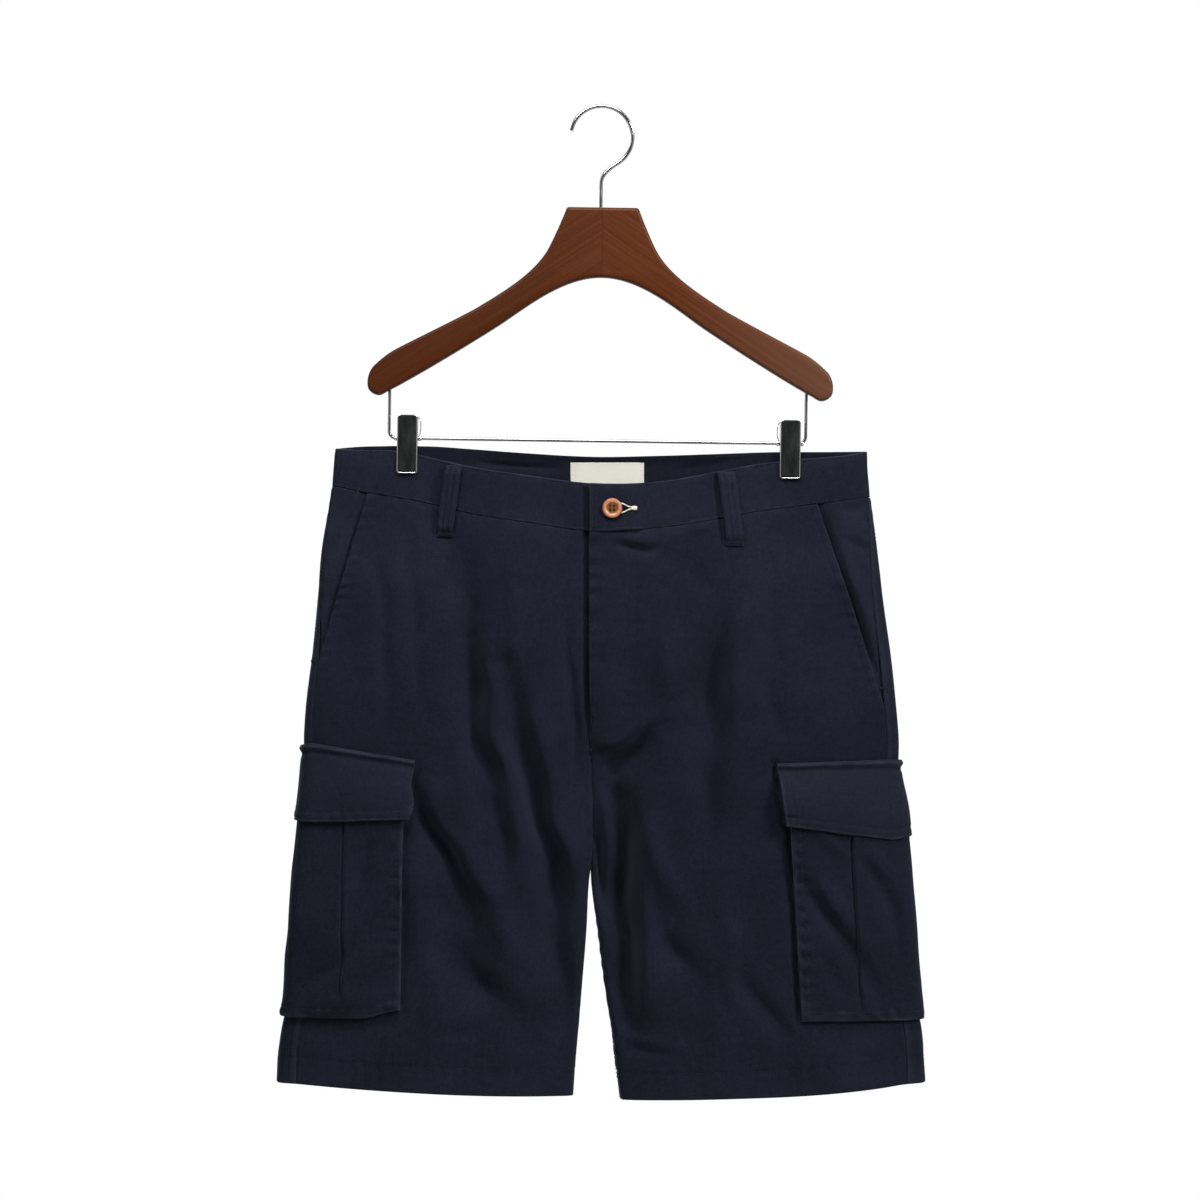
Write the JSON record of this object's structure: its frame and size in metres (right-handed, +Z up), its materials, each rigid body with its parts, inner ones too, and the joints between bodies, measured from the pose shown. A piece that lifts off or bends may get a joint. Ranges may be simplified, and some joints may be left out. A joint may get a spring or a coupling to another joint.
{
  "type": "cargo shorts on a clip hanger",
  "caption": "Navy cotton twill cargo shorts, waist and legs open, hanging by two clips from a wooden hanger with a wire hook.",
  "frame": {"origin": "the inside of the hanger hook's crown, where a rail carries it", "axes": "+Z up; -Y towards the front of the shorts; +X towards the wearer's left side, the right of a front view"},
  "size_m": [0.5514, 0.0593, 0.8482],
  "materials": {
    "navy_twill": "matte cotton twill, garment washed",
    "navy_thread": "matte spun thread",
    "cream_label": "smooth woven ribbon, blank",
    "brown_button": "polished horn-look resin",
    "stained_wood": "dark red-brown stain under gloss varnish",
    "chrome": "bright plated steel",
    "black_insert": "smooth black pad"
  },
  "bodies": {
    "root": {"waistband_left": "navy_twill", "waistband_right": "navy_twill", "front_left": "navy_twill", "front_right": "navy_twill", "back_left": "navy_twill", "back_right": "navy_twill", "hip_facing_left": "navy_twill", "hip_facing_right": "navy_twill", "cargo_pocket_left": "navy_twill", "cargo_pocket_right": "navy_twill", "cargo_flap_left": "navy_twill", "cargo_flap_right": "navy_twill", "belt_loop_1": "navy_twill", "belt_loop_2": "navy_twill", "belt_loop_3": "navy_twill", "belt_loop_4": "navy_twill", "belt_loop_5": "navy_twill", "label": "cream_label", "button": "brown_button", "button_shank": "navy_thread", "hanger_wood": "stained_wood", "hanger_hook": "chrome", "hanger_bar": "chrome", "clip_left_front_jaw": "chrome", "clip_left_back_jaw": "chrome", "clip_left_front_insert": "black_insert", "clip_left_back_insert": "black_insert", "clip_left_sleeve": "chrome", "clip_right_front_jaw": "chrome", "clip_right_back_jaw": "chrome", "clip_right_front_insert": "black_insert", "clip_right_back_insert": "black_insert", "clip_right_sleeve": "chrome"}
  },
  "joints": []
}
